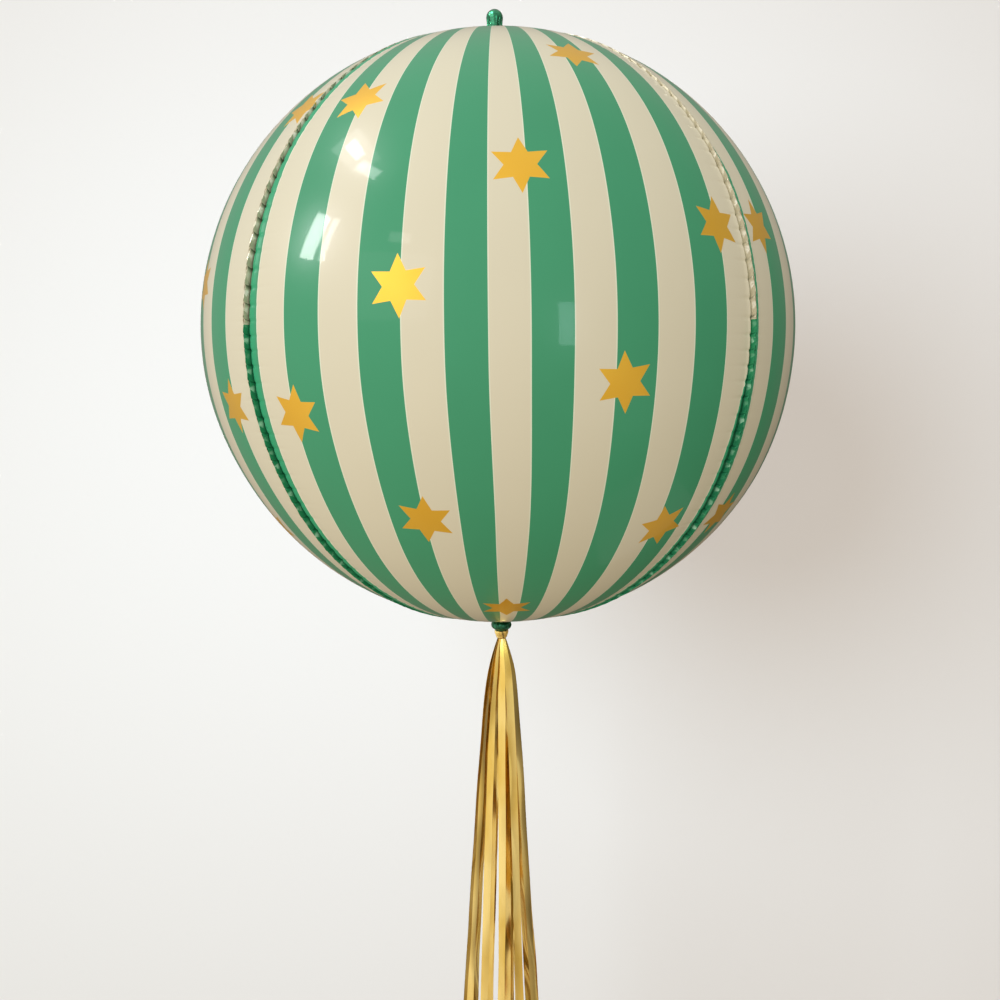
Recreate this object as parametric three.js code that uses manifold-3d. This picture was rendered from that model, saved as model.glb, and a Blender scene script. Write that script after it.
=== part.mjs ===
// A round foil balloon with a tassel of flat foil strips, hanging from the knob on its top.
// Millimetres, +Z up. The origin is the top of the knob, where the balloon is held, so that
// everything lies below it. The front gore faces -Y, and the right gore faces +X.

import * as THREE from 'three';
import { mergeVertices } from 'three/addons/utils/BufferGeometryUtils.js';
import Module from 'manifold-3d';

const { degToRad, lerp, smoothstep } = THREE.MathUtils;

// The inflated envelope, a slightly flattened ball of four gores
const BALLOON_DIAMETER = 400;
const HEIGHT_TO_WIDTH = 0.989;
const GORE_NAMES = ['front', 'right', 'back', 'left'];
const PROFILE_STEPS = 30;
const STEPS_PER_GORE = 10;

// The welded seam that stands up between two gores, lower near the poles
const SEAM_HEIGHT = 4.4;
const SEAM_END_HEIGHT = 2.2;
const SEAM_TAPER_LATITUDE = 70;
const SEAM_END_LATITUDE = 87.6;
const HALF_SEAM_THICKNESS = 0.8;
const SEAM_ROOT = 1.5;
const SEAM_STEPS = 36;

// The knob of gathered foil on the top
const KNOB_HEIGHT = 19.6;
const KNOB_BALL_DIAMETER = 11;
const KNOB_WAIST_DIAMETER = 9.6;
const KNOB_FOOT_DIAMETER = 14;
const KNOB_FOLDS = 8;

// The rolled neck below the envelope
const COLLAR_HEIGHT = 12.8;
const COLLAR_RIM_DIAMETER = 14.6;
const COLLAR_WAIST_DIAMETER = 11;
const COLLAR_END_DIAMETER = 10.4;
const COLLAR_FOLDS = 12;

// The knot of ribbon under the neck
const KNOT_HEIGHT = 6;
const KNOT_DIAMETER = 9.6;
const KNOT_END_DIAMETER = 6.8;
const KNOT_FOLDS = 10;

// The strips of the tassel, in an outer and an inner ring
const OUTER_STRIPS = 11;
const INNER_STRIPS = 5;
const INNER_SHARE = 0.48;
const STRIP_WIDTH = 5.5;
const STRIP_TOP_WIDTH = 1.1;
const STRIP_THICKNESS = 0.4;
const STRIP_LENGTH = 450;
const STRIP_LENGTH_SPREAD = 14;
const STRIP_OPENING = 40;
const STRIP_TURN = 0.9;
const STRIP_SWAY = 1.6;
const STRIP_SWAY_PITCH = 70;
const STRIP_STEPS = 16;
const STRIP_STEP_GROWTH = 1.35;

// The outer ring leaves the knot at its first radius, springs out within a few centimetres,
// and then spreads evenly
const RING_START = 2.6;
const RING_SPRING_OUT = 6.6;
const RING_SPRING_LENGTH = 21;
const RING_SPREAD = 0.0645;

// Room between pieces that touch
const GAP = 0.3;

const RADIUS = BALLOON_DIAMETER / 2;
const HALF_HEIGHT = RADIUS * HEIGHT_TO_WIDTH;
const TOP_POLE = -KNOB_HEIGHT;
const CENTRE = TOP_POLE - HALF_HEIGHT;
const BOTTOM_POLE = CENTRE - HALF_HEIGHT;
const COLLAR_END = BOTTOM_POLE - COLLAR_HEIGHT;
const KNOT_END = COLLAR_END - KNOT_HEIGHT;

const wasm = await Module();
wasm.setup();

const stripedFoil = { color: 0x6fae86, roughness: 0.25, metalness: 0.2 };
const greenFoil = { color: 0x1e6e41, roughness: 0.2, metalness: 0.85 };
const goldFoil = { color: 0xd7aa50, roughness: 0.22, metalness: 0.95 };

const balloon = new THREE.Group();

function addPiece(name, geometry, look) {
  const piece = new THREE.Mesh(geometry, new THREE.MeshStandardMaterial(look));
  piece.name = name;
  balloon.add(piece);
  return piece;
}

// Joining and cutting closed meshes

function toSolid(geometry) {
  const bare = geometry.clone();
  bare.deleteAttribute('normal');
  bare.deleteAttribute('uv');
  const merged = mergeVertices(bare, 1e-4);
  return new wasm.Manifold(new wasm.Mesh({
    numProp: 3,
    vertProperties: Float32Array.from(merged.attributes.position.array),
    triVerts: Uint32Array.from(merged.index.array),
  }));
}

function toGeometry(solid) {
  const mesh = solid.getMesh();
  const geometry = new THREE.BufferGeometry();
  geometry.setAttribute('position', new THREE.BufferAttribute(mesh.vertProperties, 3));
  geometry.setIndex(new THREE.BufferAttribute(mesh.triVerts, 1));
  geometry.computeVertexNormals();
  return geometry;
}

// A turned solid about the Z axis, from a profile of [radius, height] that runs upwards
// from the axis to the axis. Its first edge lies at the given angle from +X.

function turned(profile, segments, startAngle = 0) {
  const points = profile.map(([radius, height]) => new THREE.Vector2(radius, height));
  const geometry = new THREE.LatheGeometry(points, segments);
  geometry.rotateX(Math.PI / 2);
  geometry.rotateZ(startAngle);
  return geometry;
}

// Folds of gathered foil: each point of a turned solid moves in or out with the angle about
// the axis, by a share of its radius.

function gathered(profile, folds, depth) {
  const geometry = turned(profile, 3 * folds);
  const position = geometry.attributes.position;
  for (let i = 0; i < position.count; i += 1) {
    const x = position.getX(i);
    const y = position.getY(i);
    const grow = 1 + depth * Math.cos(folds * Math.atan2(y, x));
    position.setXY(i, x * grow, y * grow);
  }
  return geometry;
}

// A point of the envelope's meridian as [distance from the axis, height], moved outwards

function meridianPoint(latitude, outset) {
  const angle = degToRad(latitude);
  return [(RADIUS + outset) * Math.cos(angle), CENTRE + (HALF_HEIGHT + outset) * Math.sin(angle)];
}

function makeEnvelope() {
  const profile = [];
  for (let i = 0; i <= PROFILE_STEPS; i += 1) {
    const onAxis = i === 0 || i === PROFILE_STEPS;
    const [radius, height] = meridianPoint(180 * i / PROFILE_STEPS - 90, 0);
    profile.push([onAxis ? 0 : radius, height]);
  }
  return turned(profile, 4 * STEPS_PER_GORE, Math.PI / 4);
}

// A quarter of space that opens towards +X, half a gap inside the seam planes at -45 and
// +45 degrees from +X

function makeQuarter() {
  const reach = 2 * RADIUS;
  const corner = GAP / 2 * Math.SQRT2;
  const outline = new THREE.Shape();
  outline.moveTo(corner, 0);
  outline.lineTo(corner + reach, -reach);
  outline.lineTo(corner + reach, reach);
  outline.closePath();
  const prism = new THREE.ExtrudeGeometry(outline, { depth: reach + RADIUS, bevelEnabled: false });
  prism.translate(0, 0, CENTRE - (reach + RADIUS) / 2);
  return prism;
}

// Half of a welded seam, on the inner side of the seam plane at side * 45 degrees from +X:
// a thin band that follows the meridian, with its root inside the gore

function makeHalfSeam(side) {
  const outer = [];
  const inner = [];
  for (let i = 0; i <= SEAM_STEPS; i += 1) {
    const latitude = SEAM_END_LATITUDE * (2 * i / SEAM_STEPS - 1);
    const taper = smoothstep(Math.abs(latitude), SEAM_TAPER_LATITUDE, 90);
    outer.push(new THREE.Vector2(...meridianPoint(latitude, lerp(SEAM_HEIGHT, SEAM_END_HEIGHT, taper))));
    if (i % 2 === 0) {
      inner.unshift(new THREE.Vector2(...meridianPoint(latitude, -SEAM_ROOT)));
    }
  }
  const outline = new THREE.Shape([...outer, ...inner]);
  const band = new THREE.ExtrudeGeometry(outline, { depth: HALF_SEAM_THICKNESS, bevelEnabled: false });
  band.rotateX(Math.PI / 2);
  band.translate(0, side > 0 ? -GAP / 2 : GAP / 2 + HALF_SEAM_THICKNESS, 0);
  band.rotateZ(side * Math.PI / 4);
  return band;
}

function addGores() {
  const gore = toGeometry(
    toSolid(makeEnvelope())
      .intersect(toSolid(makeQuarter()))
      .add(toSolid(makeHalfSeam(1)))
      .add(toSolid(makeHalfSeam(-1))),
  );
  GORE_NAMES.forEach((name, i) => {
    const piece = addPiece(`gore_${name}`, gore.clone(), stripedFoil);
    piece.rotation.z = (i - 1) * Math.PI / 2;
  });
}

// The knob: a ball on a pinched waist, above a skirt that spreads over the tips of the gores

function addKnob() {
  const ball = KNOB_BALL_DIAMETER / 2;
  const waist = KNOB_WAIST_DIAMETER / 2;
  const foot = KNOB_FOOT_DIAMETER / 2;
  const profile = [
    [0, TOP_POLE + GAP],
    [foot, TOP_POLE + GAP],
    [foot, TOP_POLE + 1.2],
    [waist + 0.6, TOP_POLE + 5],
    [ball + 0.4, TOP_POLE + 9.4],
    [waist, TOP_POLE + 12.2],
  ];
  for (let angle = -30; angle < 90; angle += 20) {
    const turn = degToRad(angle);
    profile.push([ball * Math.cos(turn), ball * (Math.sin(turn) - 1)]);
  }
  profile.push([0, 0]);
  addPiece('top_knob', gathered(profile, KNOB_FOLDS, 0.05), greenFoil);
}

// The collar: a short neck that ends in a thick rolled rim

function addCollar() {
  const rim = COLLAR_RIM_DIAMETER / 2;
  const waist = COLLAR_WAIST_DIAMETER / 2;
  const profile = [
    [0, COLLAR_END],
    [COLLAR_END_DIAMETER / 2, COLLAR_END],
    [rim - 0.9, COLLAR_END + 1.2],
    [rim - 0.2, COLLAR_END + 2.6],
    [rim, COLLAR_END + 4.2],
    [rim - 0.3, COLLAR_END + 5.8],
    [rim - 1.1, COLLAR_END + 6.9],
    [waist, COLLAR_END + 7.6],
    [waist, BOTTOM_POLE - 1.4],
    [waist + 1, BOTTOM_POLE - GAP],
    [0, BOTTOM_POLE - GAP],
  ];
  addPiece('neck_collar', gathered(profile, COLLAR_FOLDS, 0.025), greenFoil);
}

// The knot: a pleated cup that narrows to where the strips come out

function addKnot() {
  const top = KNOT_DIAMETER / 2;
  const end = KNOT_END_DIAMETER / 2;
  const profile = [
    [0, KNOT_END],
    [end, KNOT_END],
    [end + 0.5, KNOT_END + 1.5],
    [top - 0.2, COLLAR_END - 2.2],
    [top, COLLAR_END - 1],
    [top - 0.4, COLLAR_END - GAP],
    [0, COLLAR_END - GAP],
  ];
  addPiece('ribbon_knot', gathered(profile, KNOT_FOLDS, 0.05), goldFoil);
}

function ringRadius(below) {
  const sprung = RING_SPRING_OUT * (1 - Math.exp(-below / RING_SPRING_LENGTH));
  return RING_START + sprung + RING_SPREAD * below;
}

// A strip is a long flat box whose points are moved: its width opens below the knot, its
// middle follows the ring, and its face turns slowly about its own length

function addStrip(name, { angle, share, length, turn, phase }) {
  const geometry = new THREE.BoxGeometry(1, STRIP_THICKNESS, length, 1, 1, STRIP_STEPS);
  const position = geometry.attributes.position;
  const point = new THREE.Vector3();
  for (let i = 0; i < position.count; i += 1) {
    point.fromBufferAttribute(position, i);
    const below = length * Math.max(0, 0.5 - point.z / length) ** STRIP_STEP_GROWTH;
    const across = -point.x
      * lerp(share * STRIP_TOP_WIDTH, STRIP_WIDTH, smoothstep(below, 0, STRIP_OPENING));
    const free = smoothstep(below, STRIP_OPENING, STRIP_LENGTH);
    const facing = turn * free;
    const sway = STRIP_SWAY * free * Math.sin(phase + below / STRIP_SWAY_PITCH);
    const out = share * ringRadius(below) + point.y * Math.cos(facing) + across * Math.sin(facing);
    const aside = across * Math.cos(facing) - point.y * Math.sin(facing) + sway;
    position.setXYZ(
      i,
      out * Math.cos(angle) - aside * Math.sin(angle),
      out * Math.sin(angle) + aside * Math.cos(angle),
      KNOT_END - GAP - below,
    );
  }
  addPiece(name, geometry, goldFoil);
}

function addTassel() {
  for (let i = 0; i < OUTER_STRIPS + INNER_STRIPS; i += 1) {
    const outer = i < OUTER_STRIPS;
    const place = outer ? i / OUTER_STRIPS : (i - OUTER_STRIPS + 0.3) / INNER_STRIPS;
    addStrip(`strip_${String(i + 1).padStart(2, '0')}`, {
      angle: 2 * Math.PI * place - Math.PI / 2,
      share: outer ? 1 : INNER_SHARE,
      length: STRIP_LENGTH + STRIP_LENGTH_SPREAD * Math.sin(5 * i),
      turn: STRIP_TURN * Math.sin(2.3 * i + 1),
      phase: 1.7 * i,
    });
  }
}

addGores();
addKnob();
addCollar();
addKnot();
addTassel();

export default balloon;
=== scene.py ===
"""A round foil balloon with a tassel of foil strips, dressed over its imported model.

Shapes are worked out in millimetres in the model's own frame: the origin is the top of the
knob, +Z is up, the front gore faces -Y and the right one +X. They become metres when a mesh
is made.
"""

import math

import bpy
import numpy as np
from mathutils import Matrix, Vector


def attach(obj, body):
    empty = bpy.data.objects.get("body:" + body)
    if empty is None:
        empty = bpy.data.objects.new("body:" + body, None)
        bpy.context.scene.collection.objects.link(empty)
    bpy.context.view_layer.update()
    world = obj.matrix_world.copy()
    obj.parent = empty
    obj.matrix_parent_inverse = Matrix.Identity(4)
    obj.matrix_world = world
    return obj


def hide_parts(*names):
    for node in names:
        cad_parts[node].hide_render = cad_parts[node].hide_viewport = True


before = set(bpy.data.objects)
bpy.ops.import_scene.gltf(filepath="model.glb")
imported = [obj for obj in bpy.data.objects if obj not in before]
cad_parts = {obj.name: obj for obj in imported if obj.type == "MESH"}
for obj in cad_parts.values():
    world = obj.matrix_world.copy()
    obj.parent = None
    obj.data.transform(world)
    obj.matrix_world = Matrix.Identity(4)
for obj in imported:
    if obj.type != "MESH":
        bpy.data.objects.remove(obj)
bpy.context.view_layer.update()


METRES = 0.001
UP = Vector((0.0, 0.0, 1.0))

# The envelope, the knob above it, and the collar and the knot below it
RADIUS = 200.0
HALF_HEIGHT = 197.8
KNOB_HEIGHT = 19.6
COLLAR_HEIGHT = 12.8
KNOT_HEIGHT = 6.0
TOP_POLE = -KNOB_HEIGHT
CENTRE = TOP_POLE - HALF_HEIGHT
BOTTOM_POLE = CENTRE - HALF_HEIGHT
COLLAR_END = BOTTOM_POLE - COLLAR_HEIGHT
KNOT_END = COLLAR_END - KNOT_HEIGHT


def smooth(x, first, last):
    """0 before the first bound, 1 past the last, and a smooth S between them. Bounds that
    fall turn it round, so that it is 1 below the last."""
    t = np.clip((x - first) / (last - first), 0.0, 1.0)
    return t * t * (3.0 - 2.0 * t)


# Meshes


def new_object(name, points, faces, material):
    """A mesh object from points in millimetres and faces as rows of three or four indices,
    where -1 stands for no fourth corner."""
    corners = [faces[faces[:, -1] >= 0], faces[faces[:, -1] < 0][:, :3]]
    loops = np.concatenate([part.ravel() for part in corners]).astype(np.int32)
    totals = np.concatenate([np.full(len(part), part.shape[1]) for part in corners])
    starts = np.concatenate([[0], np.cumsum(totals)[:-1]])
    mesh = bpy.data.meshes.new(name)
    mesh.vertices.add(len(points))
    mesh.vertices.foreach_set("co", (points * METRES).astype(np.float32).ravel())
    mesh.loops.add(len(loops))
    mesh.loops.foreach_set("vertex_index", loops)
    mesh.polygons.add(len(totals))
    mesh.polygons.foreach_set("loop_start", starts.astype(np.int32))
    mesh.update(calc_edges=True)
    mesh.validate()
    mesh.polygons.foreach_set("use_smooth", np.ones(len(totals), bool))
    mesh.materials.append(material)
    piece = bpy.data.objects.new(name, mesh)
    bpy.context.scene.collection.objects.link(piece)
    return piece


def closed_form(name, rings, first_tip, last_tip, material):
    """A closed form: rings of points one after another, each ring joined to the next by
    quads, and both ends closed by a fan of triangles to a tip. Its faces point outwards."""
    rows, columns, _ = rings.shape
    points = np.concatenate([rings.reshape(-1, 3), [first_tip, last_tip]])
    index = np.arange(rows * columns).reshape(rows, columns)
    here, there = index[:-1], index[1:]
    here_next, there_next = np.roll(here, -1, 1), np.roll(there, -1, 1)
    quads = np.stack([here, here_next, there_next, there], -1).reshape(-1, 4)
    none = np.full(columns, -1)
    tips = np.full(columns, rows * columns)
    first = np.stack([tips, np.roll(index[0], -1), index[0], none], -1)
    last = np.stack([tips + 1, index[-1], np.roll(index[-1], -1), none], -1)
    faces = np.concatenate([quads, first, last])
    triangles = np.concatenate([quads[:, :3], quads[:, [0, 2, 3]], first[:, :3], last[:, :3]])
    a, b, c = (points[triangles[:, k]] for k in range(3))
    if np.einsum("ij,ij->", a, np.cross(b, c)) < 0:
        faces = np.where(faces[:, 3:] >= 0, faces[:, ::-1], faces[:, [2, 1, 0, 3]])
    return new_object(name, points, faces, material)


def give_attribute(piece, name, grid, tips):
    """Stores one vector for each point of a closed form: a grid of them, then both tips'."""
    values = np.concatenate([grid.reshape(-1, 3), tips])
    layer = piece.data.attributes.new(name, "FLOAT_VECTOR", "POINT")
    layer.data.foreach_set("vector", values.astype(np.float32).ravel())


def turned_about_axis(out, aside, angle):
    """Where a point lies that is so far out and aside, once it is turned about the axis."""
    return (out * math.cos(angle) - aside * math.sin(angle),
            out * math.sin(angle) + aside * math.cos(angle))


def dress(piece, node):
    """The piece rides on the body and stands for one node, whose imported part is hidden."""
    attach(piece, "root")
    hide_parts(node)


# The gores. Latitudes and azimuths are in degrees.

GORES = ["front", "right", "back", "left"]
HALF_GORE = 45.0
GORE_ROWS = 1120
LAST_LATITUDE = 89.7
SHARP_GORE = 55.0

# The tips that close a gore's ends: how far inside the poles, and how far from the axis
POLE_STEP = 0.01
TIP_REACH = 0.4

# Where the columns of half a gore lie, in millimetres from its seam: a few near it, then
# even ones from PANEL_START to the other half
HALF_WIDTH = 157.0
EDGE_COLUMNS = [0.0, 0.5, 1.0, 1.6, 2.3, 3.2, 4.4, 6.0, 8.2, 11.0]
PANEL_START = 14.5
PANEL_COLUMNS = 30

# The skin beside a seam: how far it is drawn in, the crevice, the puckers and the welt.
# Then how far inside it the inner wall lies: INNER_TIP at the poles, and both elsewhere.
SEAM_SINK = 0.8
SINK_POWER = 6
CREVICE_DEPTH = 1.0
CREVICE_REACH = 0.9
PUCKER_DEPTH = 0.75
PUCKER_REACH = 5.0
PUCKER_WIDTH = 0.11
WELT_HEIGHT = 0.7
WELT_LEAST_WIDTH = 3.0
INNER_WALL = 2.4
INNER_TIP = 0.3

# The welded leaf that stands on the seam, HALF_GAP from the seam's middle plane. What is
# at the seams fades out over FADE_SPAN, and it is gone from SEAM_END to the poles.
SEAM_END = 88.2
FADE_SPAN = 4.0
HALF_GAP = 0.15
SEAM_HEIGHT = 3.3
SEAM_LOSS_ABOVE = 2.3
SEAM_LOSS_BELOW = 2.2
SEAM_FOOT = 0.08
HEIGHT_SWING = 0.05
SEAM_LEAF = 0.24
LEAF_TAPER = 0.35
LEAF_EDGE_POWER = 40
ROOT_SHARE = 0.3
ROOT_REACH = 3.0

# The pleats: their number from pole to pole, how far they swing, how much the leaf's top
# lags behind its foot, and the part of a pleat in which it falls
PLEATS = 66
PLEAT_SWING = 0.8
PLEAT_LAG = 0.22
PLEAT_FALL = 0.86
PLEAT_POWER = 1.8
# Slow waves in the pleats' pitch: their size in pleats, turn for each degree, and for each seam
PLEAT_WANDERS = [(0.16, 0.083, 2.1), (0.14, 0.31, 1.3)]

# How far the lower half sits to the right
BODY_LEAN = 1.7

# The green margin's width in millimetres: at first, its gain, and the latitudes between
# which it gains. Where the width is below 0 there is no margin.
LEFT_MARGIN = (6.1, 1.0, 28.0, 62.0)
RIGHT_MARGIN = (-0.4, 6.0, 2.0, -22.0)
RIGHT_GORE_LEFT_MARGIN = (8.0, -8.4, 26.0, 42.0)
LEFT_GORE_RIGHT_MARGIN = (-0.4, 3.4, 50.0, 66.0)


def pleats(latitude, seam, lag):
    """The pleats along a seam, with an uneven pitch and depth. lag shifts them along the
    seam, in pleats. Returns how far each point swings aside, a saw tooth that falls as a
    power of its place in the pleat and springs back, and the pleats from the bottom."""
    turn = PLEATS * (latitude + 90.0) / 180.0 - lag
    for wander, rate, shift in PLEAT_WANDERS:
        turn = turn + wander * np.sin(rate * latitude + shift * seam)
    size = 0.78 + 0.22 * np.sin(0.57 * latitude + 3.7 * seam)
    place = turn % 1.0
    fall = 1.0 - 2.0 * (place / PLEAT_FALL) ** PLEAT_POWER
    spring = -1.0 + 2.0 * (place - PLEAT_FALL) / (1.0 - PLEAT_FALL)
    return np.where(place < PLEAT_FALL, fall, spring) * size, turn


def seam_depth(latitude):
    """How far the seam line is drawn in: most at middle latitudes, none at the equator."""
    return SEAM_SINK * np.sin(np.radians(2.0 * latitude)) ** 2


def seam_height(latitude):
    """How far the welded leaf stands up: most near the equator, less towards the poles."""
    loss_above = SEAM_LOSS_ABOVE * smooth(latitude, 8.0, 62.0)
    loss_below = SEAM_LOSS_BELOW * smooth(latitude, -30.0, -78.0)
    return SEAM_HEIGHT - loss_above - loss_below


def gore_columns():
    """The loop of columns round a gore's section, as three arrays. share is the place
    across the panel from -1 to 1. rise is 0 on the panel and climbs to 1 at the top of the
    welded leaf. layer is 0 on the outer skin, 1 on the face welded to the next gore, and
    2 on the inner wall."""
    edge = np.array(EDGE_COLUMNS) / HALF_WIDTH
    start = PANEL_START / HALF_WIDTH
    middle = np.linspace(-1.0 + start, 1.0 - start, PANEL_COLUMNS)
    panel = np.concatenate([-1.0 + edge, middle, (1.0 - edge)[::-1]])
    climb = np.array([0.15, 0.32, 0.5, 0.68, 0.84, 0.95])
    weld = np.array([0.96, 0.66, 0.33, 0.0])
    inner = np.array([0.995, 0.94, 0.82, 0.6, 0.3, 0.0])
    inner = np.concatenate([inner, -inner[-2::-1]])
    parts = [
        (-np.ones_like(weld), weld[::-1], np.ones_like(weld)),
        (-np.ones_like(climb), climb[::-1], np.zeros_like(climb)),
        (panel, np.zeros_like(panel), np.zeros_like(panel)),
        (np.ones_like(climb), climb, np.zeros_like(climb)),
        (np.ones_like(weld), weld, np.ones_like(weld)),
        (inner, np.zeros_like(inner), np.full_like(inner, 2.0)),
    ]
    return [np.concatenate([part[k] for part in parts]) for k in range(3)]


def margin_width(name, latitude, side):
    """The width in millimetres of the green margin along a gore's seams. The left seam has
    it all the way up, but on the right gore only up to a middle latitude. The right seam
    has it on the lower half, but on the left gore only near the top."""
    left = RIGHT_GORE_LEFT_MARGIN if name == "right" else LEFT_MARGIN
    right = LEFT_GORE_RIGHT_MARGIN if name == "left" else RIGHT_MARGIN
    widths = [at_first + gain * smooth(latitude, first, last)
              for at_first, gain, first, last in (left, right)]
    return np.where(side < 0, *widths)


def make_gore(name, number, material):
    """One gore as a closed skin. Its outer face is the ellipsoid
    ((RADIUS + h) cos(lat) cos(az), (RADIUS + h) cos(lat) sin(az), (HALF_HEIGHT + h) sin(lat)).
    The outset h is minus the seam's depth times share to SINK_POWER, minus a crevice that
    dies away within a millimetre or so of the seam, plus a round welt as wide as the green
    margin, minus puckers, which run out from where the pleats fold back and die away over
    5 mm. The welded leaf stands on the seam line and swings sideways with the pleats. The
    lower half sits BODY_LEAN to the right, which dies away towards the neck."""
    share, rise, layer = gore_columns()
    latitude = np.linspace(-LAST_LATITUDE, LAST_LATITUDE, GORE_ROWS)[:, None]
    cos_lat, sin_lat = np.cos(np.radians(latitude)), np.sin(np.radians(latitude))
    side = np.sign(share)[None, :]
    lag = PLEAT_LAG * rise[None, :]
    left, right = (pleats(latitude, (number + k) % len(GORES), lag) for k in (0, 1))
    zigzag, turn = (np.where(side > 0, right[k], left[k]) for k in (0, 1))

    half = math.radians(HALF_GORE)
    arc = RADIUS * half * cos_lat * (1.0 - np.abs(share))[None, :]
    fade = smooth(SEAM_END - np.abs(latitude), 0.0, FADE_SPAN)
    margin = margin_width(name, latitude, side)
    outset = -seam_depth(latitude) * (np.abs(share) ** SINK_POWER)[None, :]
    crevice = CREVICE_DEPTH * np.exp(-arc / CREVICE_REACH) * fade
    from_fold = ((turn + 0.5) % 1.0) - 0.5
    valley = np.exp(-(from_fold / PUCKER_WIDTH) ** 2)
    pucker = PUCKER_DEPTH * valley * np.exp(-arc / PUCKER_REACH) * fade
    over_margin = np.clip(arc / np.maximum(margin, WELT_LEAST_WIDTH), 0.0, 1.0)
    welt = WELT_HEIGHT * np.sin(math.pi * over_margin)
    outset = outset + (layer == 0)[None, :] * (welt * fade - crevice - pucker)
    outset = outset - (layer == 2)[None, :] * (INNER_WALL * fade + INNER_TIP)

    height = seam_height(latitude) * (1.0 - HEIGHT_SWING + HEIGHT_SWING * zigzag)
    height = height * fade + SEAM_FOOT
    outset = outset + rise[None, :] * (height + crevice * (layer == 0)[None, :])
    outset = outset - (layer == 1)[None, :] * (1.0 - rise)[None, :] * fade

    azimuth = half * share[None, :]
    far = (RADIUS + outset) * cos_lat
    x, y = far * np.cos(azimuth), far * np.sin(azimuth)
    leaf = HALF_GAP + SEAM_LEAF * (1.0 - LEAF_TAPER * rise)
    inward = np.where(layer == 1, HALF_GAP, leaf) * np.abs(share) ** LEAF_EDGE_POWER
    sway = np.where(np.abs(share) == 1, ROOT_SHARE + (1.0 - ROOT_SHARE) * rise, ROOT_SHARE)
    sway = sway[None, :] * np.exp(-arc / ROOT_REACH)
    swing = PLEAT_SWING * zigzag * fade * sway * (layer < 2)[None, :]
    aside = -inward[None, :] + swing
    x = x - aside * math.sin(half)
    y = y + side * aside * math.cos(half)
    z = CENTRE + (HALF_HEIGHT + outset) * sin_lat

    facing = 2.0 * half * (number - 1)
    x, y = turned_about_axis(x, y, facing)
    lean = BODY_LEAN * smooth(latitude, -4.0, -34.0) * smooth(latitude, -84.0, -60.0)
    rings = np.stack([x + lean, y, z], -1)
    tip = np.array([math.cos(facing), math.sin(facing), 0.0]) * TIP_REACH
    low = tip + [0.0, 0.0, BOTTOM_POLE + POLE_STEP]
    high = tip + [0.0, 0.0, TOP_POLE - POLE_STEP]
    piece = closed_form(f"gore_{name}_foil", rings, low, high, material)

    stripes = stripe_print_and_painted_light(name, latitude, share, rise, layer, arc, turn)
    give_attribute(piece, "stripes", stripes, [[PAST_PRINT, FAR_FROM_MARGIN, 0.0]] * 2)
    stars = star_print(name, latitude, share)
    give_attribute(piece, "stars", stars, [[0.0, FAR_FROM_STAR, FAR_FROM_STAR]] * 2)
    piece.data.set_sharp_from_angle(angle=math.radians(SHARP_GORE))
    dress(piece, f"gore_{name}")


# The print on the gores, and the painted shade and painted glints along their seams

STRIPE_PITCH = 13.43
PRINT_SHIFT = {"front": 1.15, "right": 0.0, "back": -0.4, "left": 0.0}
PRINT_SCALE = 0.994
PRINT_STRETCH = 0.016
PRINT_WANDER = 0.5
WANDER_PITCH = 56.0

# Codes of the print and of the shade painted on it: a margin runs from its light edge at 0
# to -1, and to -2 at its foot, where shade is painted by the seam. The leaf runs from
# LEAF_CODE, unshaded, to 1 below it, where shade is painted in its folds and at its foot.
FOOT_CODE = -1.0
LEAF_CODE = -3.0

# The stripes end at PRINT_EDGE degrees. The tips at the poles lie past them, off the margin.
PRINT_EDGE = 50.0
PAST_PRINT = 60.0
FAR_FROM_MARGIN = 5.0

# The painted shade in the folds of the leaf: half a shaded fold's width in pleats, what it
# gains on the upper part of a left seam, and how dark the painted shade is
FOLD_WIDTH = 0.14
UPPER_FOLD_GAIN = 0.2
PAINTED_FOLD_SHADE = 0.85

# Each star's azimuth and latitude on its gore, and how far its top leans right
GORE_STARS = {
    "front": [(20.7, 52.5, 12), (-29.9, 40.6, -17), (3.35, 25.3, -1.5), (38.5, 16.9, 5),
              (-15.4, 6.8, -2.5), (18.9, -7.9, -4), (-35.5, -12.6, 6), (-15.1, -31.1, 5),
              (33.5, -34.5, -19), (0.3, -57.9, -1)],
    "right": [(-37.8, 17.7, -8), (-35.0, -34.5, 4), (17.5, 50.0, 9), (-19.0, 40.5, -6),
              (1.5, 22.5, 3), (33.5, 27.5, -4), (-9.0, -7.5, 5), (27.0, -6.0, -3),
              (9.5, -29.5, 6), (36.0, -31.0, -12), (4.0, -59.0, 2)],
    "back": [(-21.0, 51.0, -10), (28.5, 42.0, 8), (-4.5, 26.5, 2), (-36.5, 15.0, -5),
             (16.5, 5.5, 3), (-18.0, -9.5, 4), (35.0, -13.5, -6), (14.0, -32.5, -3),
             (-32.5, -33.0, 12), (1.5, -58.5, 0)],
    "left": [(39.3, 42.5, -27), (22.2, 9.7, -6), (36.1, -11.8, 0), (-17.0, 50.5, -9),
             (9.5, 33.5, 4), (-30.5, 27.0, 7), (-11.5, 7.0, -3), (-33.0, -8.5, 5),
             (2.5, -19.5, -2), (-19.5, -36.0, 9), (23.0, -38.0, -8), (-1.0, -60.0, 3)],
}
STAR_TIP = 16.9
STAR_NOTCH = 8.7
STAR_REACH = 18.0
FAR_FROM_STAR = 40.0
OTHER_SIDE = 100.0


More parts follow.
